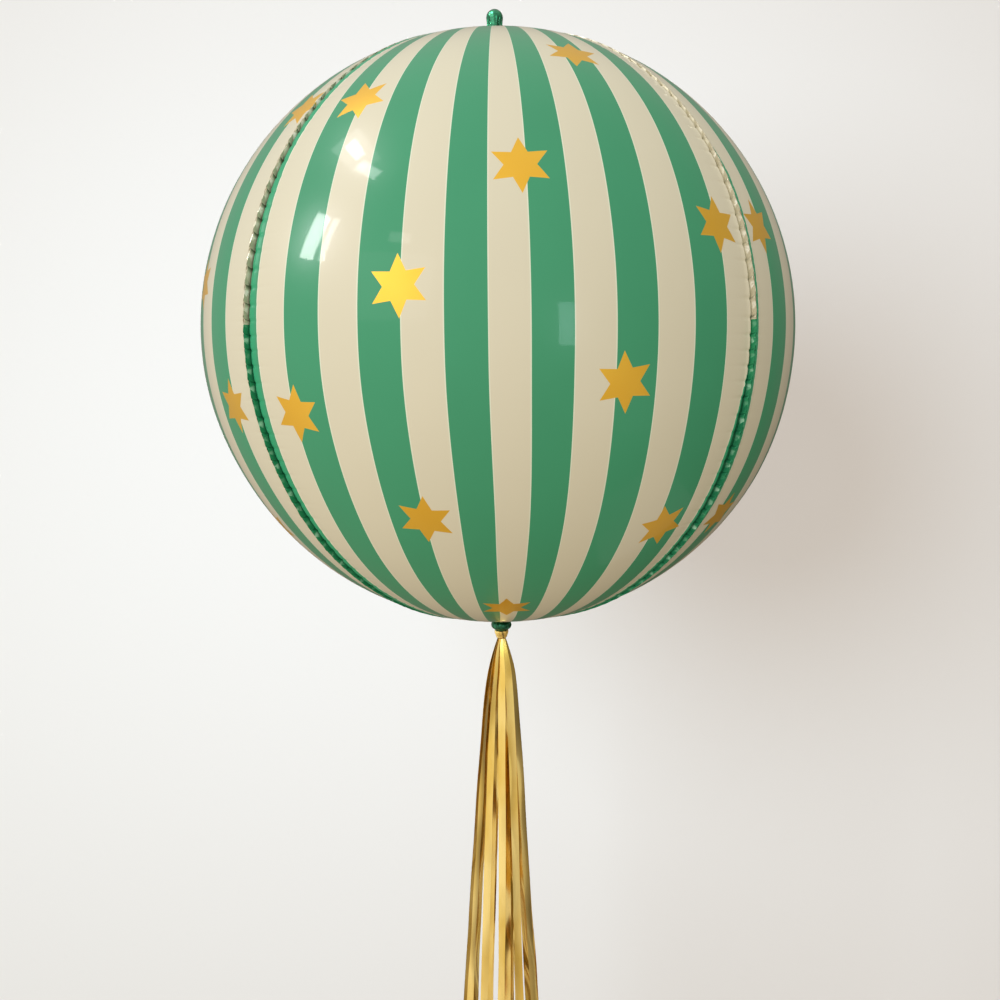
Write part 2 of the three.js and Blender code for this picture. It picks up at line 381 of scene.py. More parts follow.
def painted_leaf_glint(latitude, side, rise, turn):
    """How much painted glint the leaf gets, from 0 to 1: a slanting stripe of painted
    highlight on the fall of each pleat, of uneven strength, that fades near the bottom and
    on the right seam above."""
    slant = (turn + 0.25 * rise[None, :]) % 1.0
    glint = smooth(slant, 0.3, 0.72) * (1.0 - smooth(slant, 0.76, 0.96))
    glint = glint * (0.62 + 0.38 * np.sin(2.4 * np.floor(turn)))
    glint = glint * smooth(rise, 0.15, 0.5)[None, :] * smooth(latitude, -78.0, -30.0)
    return glint * (1.0 - 0.85 * smooth(latitude, 12.0, 40.0) * (side > 0))


def stripe_print_and_painted_light(name, latitude, share, rise, layer, arc, turn):
    """Where each point lies in the striped print: the angle from the print's middle in
    degrees, a code of where the green margin and the leaf are and where shade is painted
    on them, and the leaf's tone. The code is the distance in millimetres past the margin,
    0 to -2 on the margin, and -3 to -4 on the leaf; on the margin, -1 to -2 is painted
    shade at its foot by the seam, and on the leaf, the step below -3 is painted shade in
    its folds and at its foot. The tone is 0 on green and 1 on pale foil, and a painted
    glint adds up to 1 to its size."""
    degrees = HALF_GORE * share[None, :] + 0.0 * latitude
    side = np.sign(share)[None, :]
    outer = (layer == 0)[None, :]
    scale = PRINT_SCALE + PRINT_STRETCH * smooth(np.abs(latitude), 15.0, 50.0)
    wander = PRINT_WANDER * np.sin(math.tau * (degrees - 1.0) / WANDER_PITCH)
    band = (degrees - PRINT_SHIFT[name] + wander) / scale

    margin = margin_width(name, latitude, side)
    # Painted shade at the margin's foot by the seam, wider on the right seam
    foot = np.where(side > 0, 1.0 - smooth(arc, 2.6, 5.2), 1.0 - smooth(arc, 0.3, 1.6))
    code = np.maximum(arc - margin, FOOT_CODE)
    code = np.where(code < 0, code - foot, code)
    place = turn % 1.0
    upper = smooth(latitude, 0.0, 12.0)
    wide = np.where(side > 0, FOLD_WIDTH, FOLD_WIDTH + UPPER_FOLD_GAIN * upper)
    # Painted shade in the leaf's folds and along its foot, weaker on the right seam above
    near = 1.0 - smooth(np.minimum(place, 1.0 - place) / wide, 0.15, 1.0)
    dark = np.maximum(PAINTED_FOLD_SHADE * near, 1.0 - smooth(rise, 0.06, 0.3)[None, :])
    dark = dark * (1.0 - upper * np.where(side > 0, 0.7, 0.0))
    leaf = ((rise > 0) | (layer > 0))[None, :]
    code = np.where(leaf, LEAF_CODE - dark * outer, code)

    pale = smooth(latitude + 0.8 * np.sin(0.9 * latitude), 1.0, 4.0)
    # A painted glint on each pleat of the leaf's outer face
    glint = painted_leaf_glint(latitude, side, rise, turn) * outer
    tone = np.where(pale > 0.5, 1.0 + glint, -glint * (1.0 - pale)) * leaf
    return np.stack([band, code, tone], -1)


def star_print(name, latitude, share):
    """Each point's place in millimetres across and up from the nearest star's middle, and
    its distance, on a plane that touches the envelope there."""
    az = np.radians(HALF_GORE * share[None, :] + 0.0 * latitude)
    lat = np.radians(latitude)
    to = np.stack([np.cos(lat) * np.cos(az), np.cos(lat) * np.sin(az), np.sin(lat) + 0 * az], -1)
    nearest = np.full(to.shape[:2], FAR_FROM_STAR)
    across, up = np.zeros_like(nearest), np.full(to.shape[:2], FAR_FROM_STAR)
    for star_az, star_lat, lean in GORE_STARS[name]:
        a, b, tilt = math.radians(star_az), math.radians(star_lat), math.radians(lean)
        middle = np.array([math.cos(b) * math.cos(a), math.cos(b) * math.sin(a), math.sin(b)])
        east = np.array([-math.sin(a), math.cos(a), 0.0])
        north = np.cross(middle, east)
        right, rising = RADIUS * (to @ east), RADIUS * (to @ north)
        away = np.hypot(right, rising) + np.where(to @ middle < 0.5, OTHER_SIDE, 0.0)
        closer = away < nearest
        nearest = np.where(closer, away, nearest)
        across = np.where(closer, right * math.cos(tilt) - rising * math.sin(tilt), across)
        up = np.where(closer, right * math.sin(tilt) + rising * math.cos(tilt), up)
    return np.stack([across, up, nearest], -1)


# The knob, the collar and the knot

# How far a piece keeps from the one above or below it
JOINT_GAP = 0.35

BALL_RADIUS = 5.6
KNOB_FOLDS = 7
KNOB_LIMIT = 7.2
VALLEY_DEPTH = 0.42
SKIRT_FLARE = 0.05
CRUMPLE_DEPTH = 0.025

RIM_RADIUS = 5.2
RIM_WIDTH = 2.1
RIM_HALF_HEIGHT = 2.9
COLLAR_FOLDS = 13
COLLAR_FOLD_DEPTH = 0.055

KNOT_PLEATS = 9
KNOT_PLEAT_DEPTH = 0.24
SHARP_KNOT = 40.0


def around(profile, rows, columns):
    """A profile of (radius, height) corners, read at even steps of its length and rounded
    off, as a column of radii and one of heights, next to a row of angles."""
    corners = np.array(profile, float)
    steps = np.concatenate([[0.0], np.cumsum(np.hypot(*np.diff(corners, axis=0).T))])
    at = np.linspace(0.0, steps[-1], rows)
    radius, height = np.interp(at, steps, corners[:, 0]), np.interp(at, steps, corners[:, 1])
    for _ in range(3):
        for values in (radius, height):
            values[1:-1] = 0.25 * values[:-2] + 0.5 * values[1:-1] + 0.25 * values[2:]
    angle = np.linspace(0.0, math.tau, columns, endpoint=False)[None, :]
    return radius[:, None], height[:, None], angle


def turned_form(name, radius, angle, height, ends, material):
    """A closed form from a radius at each angle and height. ends are its tips' heights."""
    rings = np.stack([radius * np.cos(angle), radius * np.sin(angle), height + 0.0 * radius], -1)
    low, high = ([0.0, 0.0, end] for end in ends)
    return closed_form(name, rings, low, high, material)


def make_knob(material):
    """The knob: a ball whose foil hangs down in folds. The radius is that of a ball, then of
    a slight waist and a skirt, less narrow valleys between seven round folds. The valleys
    start on the ball's lower half, deepen downwards and turn a little round the axis."""
    dome = [(BALL_RADIUS * math.cos(t), BALL_RADIUS * (math.sin(t) - 1.0))
            for t in np.radians(range(0, 90, 6))]
    foot = TOP_POLE + JOINT_GAP
    profile = [(6.6, foot), (6.75, TOP_POLE + 1.4), (6.7, TOP_POLE + 4.0),
               (6.5, TOP_POLE + 6.0), (5.6, TOP_POLE + 7.8), (4.9, TOP_POLE + 9.4),
               (5.2, TOP_POLE + 11.4)] + dome
    radius, height, angle = around(profile, 96, 168)
    down = smooth(height, -3.5, -12.5)
    turn = angle + 0.3 * np.sin(angle * 2.0 + 0.6) + 0.35 * smooth(height, -2.0, -18.0)
    valley = (1.0 - np.abs(np.sin(KNOB_FOLDS / 2.0 * turn + 0.9))) ** 2.2
    crumple = np.sin(10.0 * turn + 2.0 * np.sin(3.0 * angle) + 0.5 * height) * (0.5 + down)
    radius = radius * (1.0 + SKIRT_FLARE * down - VALLEY_DEPTH * down * valley
                       + CRUMPLE_DEPTH * crumple)
    radius = np.minimum(radius, KNOB_LIMIT)
    hem = smooth(height, -17.5, -19.0)
    height = height + 0.25 * down * np.sin(5.0 * angle + 0.7) * hem
    piece = turned_form("top_knob_foil", radius, angle, height, (foot, -0.02), material)
    dress(piece, "top_knob")


def make_collar(material):
    """The collar: a short neck above a thick rolled rim. The radius follows the profile
    times 1 plus a few per cent of uneven folds round the axis, with a fine crumple."""
    base, top = COLLAR_END, BOTTOM_POLE - JOINT_GAP
    rim = [(RIM_RADIUS + RIM_WIDTH * math.cos(t), base + 4.0 + RIM_HALF_HEIGHT * math.sin(t))
           for t in np.radians(range(-84, 91, 12))]
    profile = [(4.4, base + 0.1), (4.9, base + 0.35)] + rim
    profile += [(5.3, base + 7.6), (5.4, base + 10.5), (6.3, top)]
    radius, height, angle = around(profile, 80, 144)
    turn = angle + 0.2 * np.sin(3.0 * angle + 1.0) + 0.04 * (height - base)
    folds = np.abs(np.sin(COLLAR_FOLDS / 2.0 * turn)) ** 0.8 - 0.7
    fine = np.sin(19.0 * turn + np.sin(5.0 * angle))
    radius = radius * (1.0 + COLLAR_FOLD_DEPTH * folds + 0.01 * fine)
    ends = (base + 0.1, top)
    piece = turned_form("neck_collar_foil", radius, angle, height, ends, material)
    dress(piece, "neck_collar")


def make_knot(material):
    """The knot: a pleated cup that narrows downwards. The radius follows the profile times
    1 + depth * pleat(angle), with sharp pleats that lean a little round the axis."""
    top = COLLAR_END - JOINT_GAP
    profile = [(3.0, KNOT_END + 0.1), (3.5, KNOT_END + 0.4), (3.75, KNOT_END + 1.6),
               (4.4, KNOT_END + 3.2), (4.75, KNOT_END + 4.6), (4.75, top)]
    radius, height, angle = around(profile, 44, 160)
    turn = angle + 0.05 * (height - KNOT_END) + 0.12 * np.sin(2.0 * angle)
    pleat = np.abs(((turn * KNOT_PLEATS / math.tau) % 1.0) * 2.0 - 1.0)
    fine = np.sin(23.0 * turn)
    radius = radius * (1.0 + KNOT_PLEAT_DEPTH * (pleat - 0.6) + 0.012 * fine)
    ends = (KNOT_END + 0.1, top)
    piece = turned_form("ribbon_knot_foil", radius, angle, height, ends, material)
    piece.data.set_sharp_from_angle(angle=math.radians(SHARP_KNOT))
    dress(piece, "ribbon_knot")


# The tassel

OUTER_STRIPS = 11
INNER_STRIPS = 5
INNER_SHARE = 0.48
RING_ROOT = 2.6
RING_SPRING = 6.6
SPRING_REACH = 21.0
RING_SPREAD = 0.062
STRIP_LENGTH = 450.0
LENGTH_SPREAD = 14.0
STRIP_WIDTH = 5.5
ROOT_WIDTH = 2.2
STRIP_ROWS = 170
STRIP_FOIL = 0.12
STRIP_SWAY = 1.6
STRIP_CUP = 0.22
END_SLANT = 1.6
STRIP_GAP = 0.3
TASSEL_DRIFT = -0.011
SHARP_STRIP = 50.0

# How the faces turn, in radians: how far a strip's own direction strays from the front, how
# much the faces lap at the knot, and two waves along them
STRIP_STRAY = 0.5
STRIP_LAP = 0.34
SLOW_WAVE = 0.22
QUICK_WAVE = 0.08


def ring_radius(below):
    """How far out the outer ring hangs: it springs out of the knot and then spreads."""
    spring = RING_SPRING * (1.0 - np.exp(-below / SPRING_REACH))
    return RING_ROOT + spring + RING_SPREAD * below


def strip_facing(below, angle, index, phase):
    """Which way a strip's face is turned from straight out. At the knot the faces lap like
    shutter blades. Lower down each one turns three quarters of the way to a direction of
    its own, near the front or the back, with slow waves."""
    to_front = (angle + math.pi) % math.pi - 0.5 * math.pi
    own = to_front + STRIP_STRAY * math.sin(2.3 * index + 1.0)
    free = 0.35 * smooth(below, 15.0, 120.0) + 0.4 * smooth(below, 120.0, 350.0)
    facing = STRIP_LAP * (1.0 - free) + own * free
    facing = facing + SLOW_WAVE * free * np.sin(below / 30.0 + 2.9 * phase)
    return facing + QUICK_WAVE * np.sin(below / 12.0 + 1.7 * phase)


def make_strip(index, material):
    """One strip of flat foil. Its middle line lies at the ring's radius, at the strip's own
    angle, plus a slow sway. Its width opens from the knot, and it is a little cupped across.
    The tassel hangs plumb under a balloon that leans a little, so it drifts to the left on
    the way down."""
    outer = index < OUTER_STRIPS
    place = index / OUTER_STRIPS if outer else (index - OUTER_STRIPS + 0.3) / INNER_STRIPS
    angle = math.tau * place - math.pi / 2.0
    share = 1.0 if outer else INNER_SHARE
    length = STRIP_LENGTH + LENGTH_SPREAD * math.sin(5.0 * index)
    phase = 1.7 * index

    along = np.linspace(0.0, 1.0, STRIP_ROWS)[:, None]
    below = length * along ** 1.15
    root = share * ROOT_WIDTH
    width = root + (STRIP_WIDTH - root) * smooth(below, 0.0, 26.0)
    facing = strip_facing(below, angle, index, phase)
    sway = STRIP_SWAY * smooth(below, 40.0, STRIP_LENGTH) * np.sin(phase + below / 70.0)

    section = np.array([-0.5, -0.3, -0.1, 0.1, 0.3, 0.5])
    half = np.full_like(section, 0.5 * STRIP_FOIL)
    u = np.concatenate([section, section[::-1]])[None, :]
    v = np.concatenate([half, -half])[None, :]
    across = u * width
    cup = STRIP_CUP * math.cos(3.1 * index) * (1.0 - 4.0 * u ** 2) * smooth(below, 20.0, 120.0)
    lift = v + cup * width / STRIP_WIDTH
    out = share * ring_radius(below) + lift * np.cos(facing) + across * np.sin(facing)
    aside = across * np.cos(facing) - lift * np.sin(facing) + sway
    slant = END_SLANT * math.sin(4.1 * index) * u * smooth(along, 0.97, 1.0)
    x, y = turned_about_axis(out, aside, angle)
    height = KNOT_END - STRIP_GAP - below - slant
    rings = np.stack([x + TASSEL_DRIFT * below, y, height], -1)
    number = f"{index + 1:02d}"
    first, last = rings[0].mean(0), rings[-1].mean(0)
    piece = closed_form(f"ribbon_{number}", rings, first, last, material)
    along_map = np.stack([across, below + 0.0 * across, phase + 0.0 * across], -1)
    give_attribute(piece, "ribbon", along_map, [[0.0, 0.0, phase], [0.0, length, phase]])
    piece.data.set_sharp_from_angle(angle=math.radians(SHARP_STRIP))
    dress(piece, f"strip_{number}")


# Materials

CREAM = (0.815, 0.765, 0.585, 1.0)
GREEN = (0.068, 0.375, 0.192, 1.0)
GOLD = (0.86, 0.52, 0.06, 1.0)
DEEP_GOLD = (0.80, 0.43, 0.03, 1.0)
MARGIN_GREEN = (0.04, 0.40, 0.19, 1.0)
# Painted shade at the margins' feet and in the leaf's folds
PAINTED_SHADE_GREEN = (0.006, 0.10, 0.04, 1.0)
LEAF_GREEN = (0.035, 0.34, 0.155, 1.0)
# A painted glint for the green leaf; for the pale leaf a painted highlight, its base colour and
# painted shade in its creases
PAINTED_LEAF_GLINT = (0.42, 0.80, 0.58, 1.0)
PAINTED_PALE_HIGHLIGHT = (1.0, 0.97, 0.86, 1.0)
PALE_SHADE = (0.68, 0.63, 0.47, 1.0)
PAINTED_CREASE_SHADE = (0.05, 0.085, 0.035, 1.0)
LIGHT_LINE = (0.86, 0.90, 0.72, 1.0)
METAL_GREEN = (0.04, 0.33, 0.16, 1.0)
DEEP_METAL_GREEN = (0.008, 0.10, 0.045, 1.0)
RIBBON_GOLD = (0.94, 0.74, 0.29, 1.0)
DEEP_RIBBON_GOLD = (0.74, 0.51, 0.12, 1.0)
WALL_PAINT = (0.625, 0.568, 0.525, 1.0)
CREAM_CLOUD = 0.93
GREEN_CLOUD = 0.87
STAR_METAL = 0.45
LEAF_METAL = 0.3
LONG_GRAIN = (1.0, 1.0, 0.3)


class Finish:
    """A material and the calls that add nodes to it."""

    def __init__(self, name):
        self.material = bpy.data.materials.new(name)
        self.material.use_nodes = True
        self.tree = self.material.node_tree
        self.shader = self.tree.nodes["Principled BSDF"]

    def add(self, kind, **settings):
        """Adds a node and sets its properties."""
        node = self.tree.nodes.new(kind)
        for key, value in settings.items():
            setattr(node, key, value)
        return node

    def feed(self, socket, value):
        """Links an output to a socket, or sets the socket's own value."""
        if isinstance(value, bpy.types.NodeSocket):
            self.tree.links.new(value, socket)
        else:
            socket.default_value = value

    def math(self, operation, *values):
        """A math node on numbers or outputs."""
        node = self.add("ShaderNodeMath", operation=operation)
        for socket, value in zip(node.inputs, values):
            self.feed(socket, value)
        return node.outputs[0]

    def span(self, value, low, high, to_low=0.0, to_high=1.0):
        """Maps low..high of a value to another range, and holds the ends."""
        node = self.add("ShaderNodeMapRange", clamp=True)
        for socket, item in zip(node.inputs, (value, low, high, to_low, to_high)):
            self.feed(socket, item)
        return node.outputs[0]

    def blend(self, share, first, second):
        """Mixes two colours."""
        node = self.add("ShaderNodeMix", data_type="RGBA")
        self.feed(node.inputs[0], share)
        self.feed(node.inputs[6], first)
        self.feed(node.inputs[7], second)
        return node.outputs[2]

    def attribute(self, name):
        """The three numbers of an attribute of the mesh."""
        vector = self.add("ShaderNodeAttribute", attribute_name=name).outputs["Vector"]
        node = self.add("ShaderNodeSeparateXYZ")
        self.feed(node.inputs[0], vector)
        return node.outputs[:3]

    def noise(self, scale, detail, roughness=0.5, stretch=None):
        """Noise on the object's own coordinates, which may be stretched along an axis."""
        vector = self.add("ShaderNodeTexCoord").outputs["Object"]
        if stretch:
            mapping = self.add("ShaderNodeMapping")
            self.feed(mapping.inputs["Vector"], vector)
            mapping.inputs["Scale"].default_value = stretch
            vector = mapping.outputs[0]
        node = self.add("ShaderNodeTexNoise")
        self.feed(node.inputs["Vector"], vector)
        node.inputs["Scale"].default_value = scale
        node.inputs["Detail"].default_value = detail
        node.inputs["Roughness"].default_value = roughness
        return node.outputs[0]

    def relief(self, height, distance, strength):
        """A bump from a height, linked to the shader's normal."""
        node = self.add("ShaderNodeBump")
        node.inputs["Strength"].default_value = strength
        node.inputs["Distance"].default_value = distance
        self.feed(node.inputs["Height"], height)
        self.feed(self.shader.inputs["Normal"], node.outputs[0])

    def set(self, **values):
        """Sets or links the shader's own sockets, named with underscores for spaces."""
        for key, value in values.items():
            self.feed(self.shader.inputs[key.replace("_", " ")], value)


def darker(colour, share):
    """A colour times a share."""
    return tuple(value * share for value in colour[:3]) + (1.0,)


def star_mask(finish):
    """1 inside the nearest six-pointed star. The angle about the star's middle is folded into
    a twelfth of a turn, and a straight line from tip to notch bounds the star there."""
    across, up, away = finish.attribute("stars")
    distance = finish.math("SQRT", finish.math(
        "ADD", finish.math("MULTIPLY", across, across), finish.math("MULTIPLY", up, up)))
    fold = math.pi / 6.0
    angle = finish.math("PINGPONG", finish.math("ARCTAN2", across, up), fold)
    slope_x = STAR_NOTCH * math.sin(fold)
    slope_y = STAR_TIP - STAR_NOTCH * math.cos(fold)
    length = math.hypot(slope_x, slope_y)
    along = finish.math("MULTIPLY", finish.math("COSINE", angle), slope_x / length)
    over = finish.math("MULTIPLY", finish.math("SINE", angle), slope_y / length)
    reach = finish.math("MULTIPLY", distance, finish.math("ADD", along, over))
    inside = finish.span(finish.math("SUBTRACT", reach, STAR_TIP * slope_x / length),
                         0.07, -0.07)
    near = finish.math("LESS_THAN", away, STAR_REACH)
    return finish.math("MULTIPLY", inside, near)


def stripe_mask(finish, band):
    """1 on the green stripes, which repeat with the print's pitch on both sides of the
    middle, and 1 on the thin light line that the print leaves along their edges."""
    band = finish.math("ABSOLUTE", band)
    fold = finish.math("SUBTRACT", finish.math("MODULO", band, STRIPE_PITCH), STRIPE_PITCH / 2.0)
    fold = finish.math("ABSOLUTE", fold)
    edge = STRIPE_PITCH / 4.0
    printed = finish.math("LESS_THAN", band, PRINT_EDGE)
    stripe = finish.math("MULTIPLY", finish.span(fold, edge + 0.02, edge - 0.02), printed)
    line = finish.math("MULTIPLY", finish.span(fold, edge + 0.21, edge + 0.15), printed)
    return stripe, line


def striped_foil():
    """Cream and green print on glossy foil, with flush metallic gold stars. The welded
    leaves along the seams are pale or green foil with painted shade in their creases and
    painted glints, and the green margins get painted shade at their feet."""
    finish = Finish("striped_foil_print")
    band, code, tone = finish.attribute("stripes")
    stripe, line = stripe_mask(finish, band)
    margin = finish.span(code, 0.08, -0.08)
    line = finish.math("MAXIMUM", line, finish.span(code, 0.6, 0.45))
    leaf = finish.span(code, LEAF_CODE + 0.6, LEAF_CODE + 0.4)
    star = star_mask(finish)

    cloud = finish.noise(9.0, 2.0)
    cream = finish.blend(cloud, CREAM, darker(CREAM, CREAM_CLOUD))
    cream = finish.blend(line, cream, LIGHT_LINE)
    inked = finish.blend(finish.noise(14.0, 3.0), GREEN, darker(GREEN, GREEN_CLOUD))
    # The margin darkens to painted shade at its foot by the seam
    margin_with_painted_shade = finish.blend(finish.span(code, FOOT_CODE, FOOT_CODE - 0.9), MARGIN_GREEN, PAINTED_SHADE_GREEN)
    inked = finish.blend(margin, inked, margin_with_painted_shade)
    colour = finish.blend(finish.math("MAXIMUM", stripe, margin), cream, inked)

    # On the leaf: painted shade in its folds and at its foot, painted highlights on the pale foil
    # and painted glints on the green
    dark = finish.span(code, LEAF_CODE, LEAF_CODE - 1.0)
    speck = finish.span(finish.noise(260.0, 2.0, 0.6), 0.38, 0.62)
    lit = finish.math("MULTIPLY", finish.span(tone, 1.05, 1.7), finish.span(speck, 1.0, 0.5))
    pale = finish.blend(lit, PALE_SHADE, PAINTED_PALE_HIGHLIGHT)
    pale = finish.blend(dark, pale, PAINTED_CREASE_SHADE)
    green = finish.blend(dark, LEAF_GREEN, PAINTED_SHADE_GREEN)
    glint = finish.math("MULTIPLY", finish.span(tone, -0.1, -0.9), finish.span(speck, 1.0, 0.4))
    green = finish.blend(glint, green, PAINTED_LEAF_GLINT)
    welded = finish.blend(finish.span(tone, 0.4, 0.6), green, pale)
    colour = finish.blend(leaf, colour, welded)

    gold = finish.blend(finish.noise(22.0, 2.0), GOLD, DEEP_GOLD)
    colour = finish.blend(star, colour, gold)
    shiny = finish.math("MAXIMUM", finish.math("MULTIPLY", star, STAR_METAL),
                        finish.math("MULTIPLY", leaf, LEAF_METAL))
    rough = finish.span(star, 0.0, 1.0, 0.3, 0.36)
    finish.set(Base_Color=colour, Metallic=shiny, Roughness=rough, Coat_Weight=0.45,
               Coat_Roughness=0.05, Coat_IOR=1.25, Specular_IOR_Level=0.1)
    finish.relief(finish.noise(38.0, 3.0, 0.45), 0.0006, 0.25)
    return finish.material


def green_foil():
    """Deep green metallic foil for the knob and the collar."""
    finish = Finish("green_metal_foil")
    tone = finish.span(finish.noise(190.0, 3.0, 0.55), 0.35, 0.62)
    colour = finish.blend(tone, METAL_GREEN, DEEP_METAL_GREEN)
    rough = finish.span(finish.noise(320.0, 2.0), 0.3, 0.7, 0.2, 0.32)
    finish.set(Base_Color=colour, Metallic=0.85, Roughness=rough, Coat_Weight=0.3,
               Coat_Roughness=0.12)
    finish.relief(finish.noise(300.0, 4.0, 0.6), 0.0008, 0.5)
    return finish.material


def gold_foil():
    """Gold metallic foil with faint cross bands and creases along the ribbon."""
    finish = Finish("gold_ribbon_foil")
    _, below, phase = finish.attribute("ribbon")
    cloud = finish.noise(45.0, 3.0, stretch=(1.0, 1.0, 0.35))
    colour = finish.blend(finish.span(cloud, 0.35, 0.65), RIBBON_GOLD, DEEP_RIBBON_GOLD)
    crease = finish.math("SINE", finish.math("ADD", finish.math("MULTIPLY", below, 1.1), phase))
    crease = finish.math("MULTIPLY", crease, finish.span(cloud, 0.45, 0.7))
    rough = finish.span(finish.noise(60.0, 2.0, stretch=LONG_GRAIN), 0.3, 0.7, 0.12, 0.24)
    finish.set(Base_Color=colour, Metallic=1.0, Roughness=rough)
    ripple = finish.math("ADD", finish.noise(70.0, 1.0, 0.4, LONG_GRAIN),
                         finish.math("MULTIPLY", crease, 0.05))
    finish.relief(ripple, 0.0005, 0.2)
    return finish.material


def plain_wall():
    """Matt pale paint for the floor and the wall behind."""
    finish = Finish("pale_wall")
    finish.set(Base_Color=WALL_PAINT, Roughness=0.9, Specular_IOR_Level=0.1)
    return finish.material


# The camera and the stage

FOCAL_SHARE = 1.011
SENSOR = 36.0
CLIPS = (0.02, 60.0)
CAMERA_AZIMUTH = -0.58
CAMERA_DISTANCE = 717.5
CAMERA_DROP = 12.6
CAMERA_PITCH = -8.12
CAMERA_ROLL = 0.65

FLOOR = -2600.0
FLOOR_FRONT = -4500.0
FLOOR_BEND = 700.0
BEND_STEPS = 24
WALL = 1600.0
WALL_HEIGHT = 5000.0
STAGE_HALF_WIDTH = 4000.0


def direction(azimuth, elevation):
    """The unit vector at an azimuth from the front, positive to the right, and elevation."""
    a, e = math.radians(azimuth), math.radians(elevation)
    return Vector((math.cos(e) * math.sin(a), -math.cos(e) * math.cos(a), math.sin(e)))


def aim(thing, ahead, up):
    """Turns an object so that it looks ahead with its own up as near as can be to up."""
    right = ahead.cross(up).normalized()
    top = right.cross(ahead)
    turned = Matrix((right, top, -ahead)).transposed().to_4x4()
    turned.translation = thing.location
    thing.matrix_world = turned


def make_camera():
    """The photograph's view: in front, a little below the balloon's middle, looking down."""
    data = bpy.data.cameras.new("camera")
    data.sensor_width = SENSOR
    data.lens = FOCAL_SHARE * SENSOR
    data.clip_start, data.clip_end = CLIPS
    camera = bpy.data.objects.new("camera", data)
    bpy.context.scene.collection.objects.link(camera)
    towards = direction(CAMERA_AZIMUTH, 0.0)
    right = Vector((-towards.y, towards.x, 0.0))
    camera.location = (towards * CAMERA_DISTANCE + UP * (CENTRE - CAMERA_DROP)) * METRES
    pitch, roll = math.radians(CAMERA_PITCH), math.radians(CAMERA_ROLL)
    ahead = -towards * math.cos(pitch) + UP * math.sin(pitch)
    upright = right.cross(ahead)
    aim(camera, ahead, upright * math.cos(roll) + right * math.sin(roll))
    bpy.context.scene.camera = camera


def make_stage(material):
    """The floor, which curves up into the wall behind: one profile of floor, quarter round
    and wall, carried sideways."""
    bend = FLOOR_BEND
    turn = np.radians(np.linspace(0.0, 90.0, BEND_STEPS))
    y = np.concatenate([[FLOOR_FRONT], WALL - bend + bend * np.sin(turn), [WALL]])
    z = np.concatenate([[0.0], bend - bend * np.cos(turn), [WALL_HEIGHT]]) + FLOOR
    x = np.array([-STAGE_HALF_WIDTH, STAGE_HALF_WIDTH])
    rows = len(y)
    points = np.stack([np.repeat(x[None, :], rows, 0), np.repeat(y[:, None], 2, 1),
                       np.repeat(z[:, None], 2, 1)], -1).reshape(-1, 3)
    low = np.arange(rows - 1) * 2
    faces = np.stack([low, low + 1, low + 3, low + 2], -1)
    stage = new_object("floor_and_wall", points, faces, material)
    stage.visible_diffuse = False
    stage.visible_glossy = False
    return stage


# The lights

WHITE = (1.0, 1.0, 1.0)

ROOM_BRIGHT_SIDE = (-56.0, 31.0)
ROOM_DIM_SIDE = (-150.0, 0.0)
ROOM_RAMP = [(0.0, (0.07, 0.06, 0.045)), (0.5, (0.50, 0.475, 0.43)), (1.0, WHITE)]
ROOM_TINT = [(0.0, (0.92, 0.77, 0.58)), (0.45, (1.0, 0.97, 0.92)), (0.7, WHITE)]
ROOM_BEHIND = [(0.0, WHITE), (0.62, WHITE), (0.95, (0.5, 0.5, 0.5))]
ROOM_STRENGTH = 1.34

# What the foil mirrors: a name, the azimuths and the elevations between which it lies, its
# brightness and its colour. All of them are WINDOW_DISTANCE metres from the foil.
WINDOW_DISTANCE = 2.4
MIRROR_ROUNDS = 8
WINDOWS = [
    ("window_high", (-99.0, -83.0), (51.8, 55.0), 40.0, WHITE),
    ("window_high_glow", (-106.0, -72.0), (49.0, 57.5), 5.0, WHITE),
    ("window_high_foot", (-80.0, -64.0), (49.5, 53.0), 30.0, WHITE),
    ("soft_left", (-54.0, -24.0), (5.0, 28.0), 1.7, WHITE),
    ("soft_right", (30.0, 64.0), (-32.0, -8.0), 0.3, WHITE),
    ("floor_glow", (65.0, 125.0), (-66.0, -38.0), 0.4, WHITE),
    ("window_left", (-81.5, -74.0), (22.0, 35.5), 62.0, WHITE),
    ("window_left_narrow", (-72.0, -69.0), (22.0, 35.5), 34.0, WHITE),
    ("window_small", (-44.0, -35.0), (31.0, 34.5), 8.0, WHITE),
    ("window_low", (20.5, 26.5), (-4.0, 11.0), 13.0, (0.72, 0.94, 1.0)),
]

# The wall's lamps: the first stands a metre before the balloon's middle
WALL_LAMP_SIDE = (-21.0, 9.5)
WALL_LAMP_SIZE = 0.4
WALL_LAMP_POWER = 57.0
WALL_LAMP_COLOUR = (0.64, 0.83, 1.0)
WASH_SIZE = 1.0
WASH_COLOUR = (0.62, 0.86, 1.0)
# Each wash's place and target in metres, and its power
WASHES = [
    ("wall_wash_left", (-3.2, -1.4, -1.3), (-1.2, 1.6, -1.3), 55.0),
    ("wall_wash_right", (2.6, -1.5, -2.8), (0.8, 1.6, -2.3), 24.0),
]


def mirror_point(towards):
    """Where on the envelope the camera sees a far light in the given direction mirrored,
    found in a few rounds."""
    centre = UP * (CENTRE * METRES)
    eye = bpy.context.scene.camera.location
    normal = towards.copy()
    for _ in range(MIRROR_ROUNDS):
        view = (eye - (centre + normal * RADIUS * METRES)).normalized()
        normal = (view + towards).normalized()
    return centre + normal * RADIUS * METRES


def area_light(name, shape, width, height, power, colour):
    """A flat lamp that the camera doesn't see."""
    data = bpy.data.lights.new(name, "AREA")
    data.shape = shape
    data.size, data.size_y = width, height
    data.energy = power
    data.color = colour
    light = bpy.data.objects.new(name, data)
    bpy.context.scene.collection.objects.link(light)
    light.visible_camera = False
    return light


